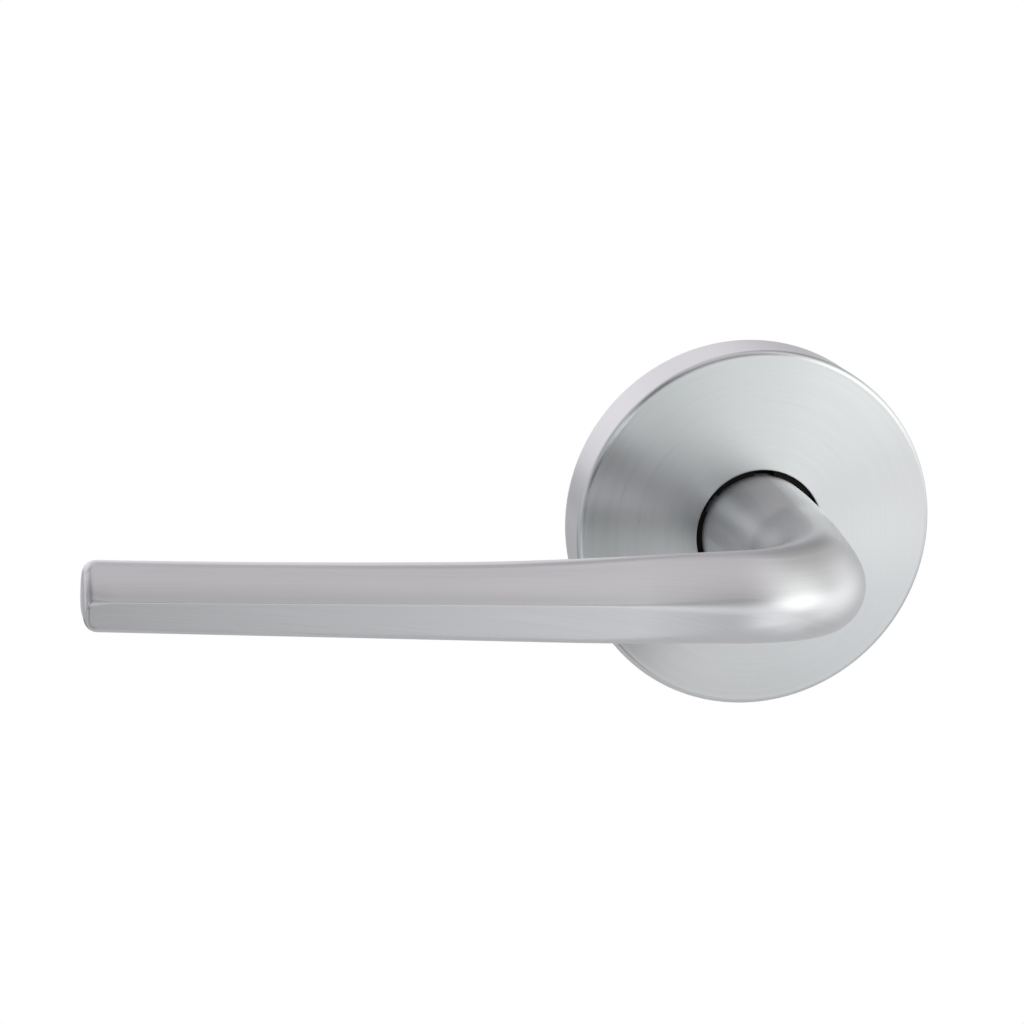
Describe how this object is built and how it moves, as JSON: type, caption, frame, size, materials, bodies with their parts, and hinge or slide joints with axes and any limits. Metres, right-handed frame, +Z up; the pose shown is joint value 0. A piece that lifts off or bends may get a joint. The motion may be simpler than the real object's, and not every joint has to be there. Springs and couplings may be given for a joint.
{
  "type": "door lever handle",
  "caption": "Door lever handle with a faceted tapering grip on a round neck, turning in a sprung round rose that bolts through the door.",
  "frame": {"origin": "centre of the rose's back face, on the door surface and the lever's turning axis", "axes": "+Z up the door, +Y into the door, and the grip points along -X and stands out towards -Y"},
  "size_m": [0.1557, 0.1254, 0.065],
  "materials": {
    "satin_chrome_lever": "satin chrome, brushed along the grip",
    "satin_chrome_rose": "satin chrome, turned brushing round the axis",
    "black_steel": "black oxide",
    "bright_steel": "bright drawn",
    "pressed_steel": "zinc plated sheet",
    "spring_steel": "oil tempered",
    "zinc_plated_steel": "bright zinc plating",
    "bronze": "turned",
    "cast_zinc": "as cast, tumbled",
    "black_nylon": "moulded",
    "white_nylon": "moulded"
  },
  "bodies": {
    "rose": {"rose_cover": "satin_chrome_rose", "snap_ring": "spring_steel", "mounting_base": "cast_zinc", "neck_bush": "black_nylon", "rear_bush": "white_nylon", "return_spring": "spring_steel", "spring_guide": "white_nylon", "spring_anchor_pin": "bright_steel", "stop_pins": "bright_steel", "back_plate": "pressed_steel", "back_plate_screws": "zinc_plated_steel", "bolt_posts": "bright_steel", "through_bolts": "zinc_plated_steel", "wood_screws": "zinc_plated_steel"},
    "handle": {"lever": "satin_chrome_lever", "grub_screw": "black_steel", "spindle": "bright_steel", "drive_cam": "pressed_steel", "retaining_circlip": "spring_steel", "thrust_washer": "bronze", "wave_washer": "spring_steel"}
  },
  "joints": [
    {"name": "lever_turn", "type": "hinge", "parent": "rose", "child": "handle", "pos_m": [0, -0.009, 0], "axis": [0, -1, 0], "range_deg": [-45, 45], "stiffness_Nm_per_rad": 2, "springref_deg": -1.43, "deforming": ["return_spring"]}
  ]
}
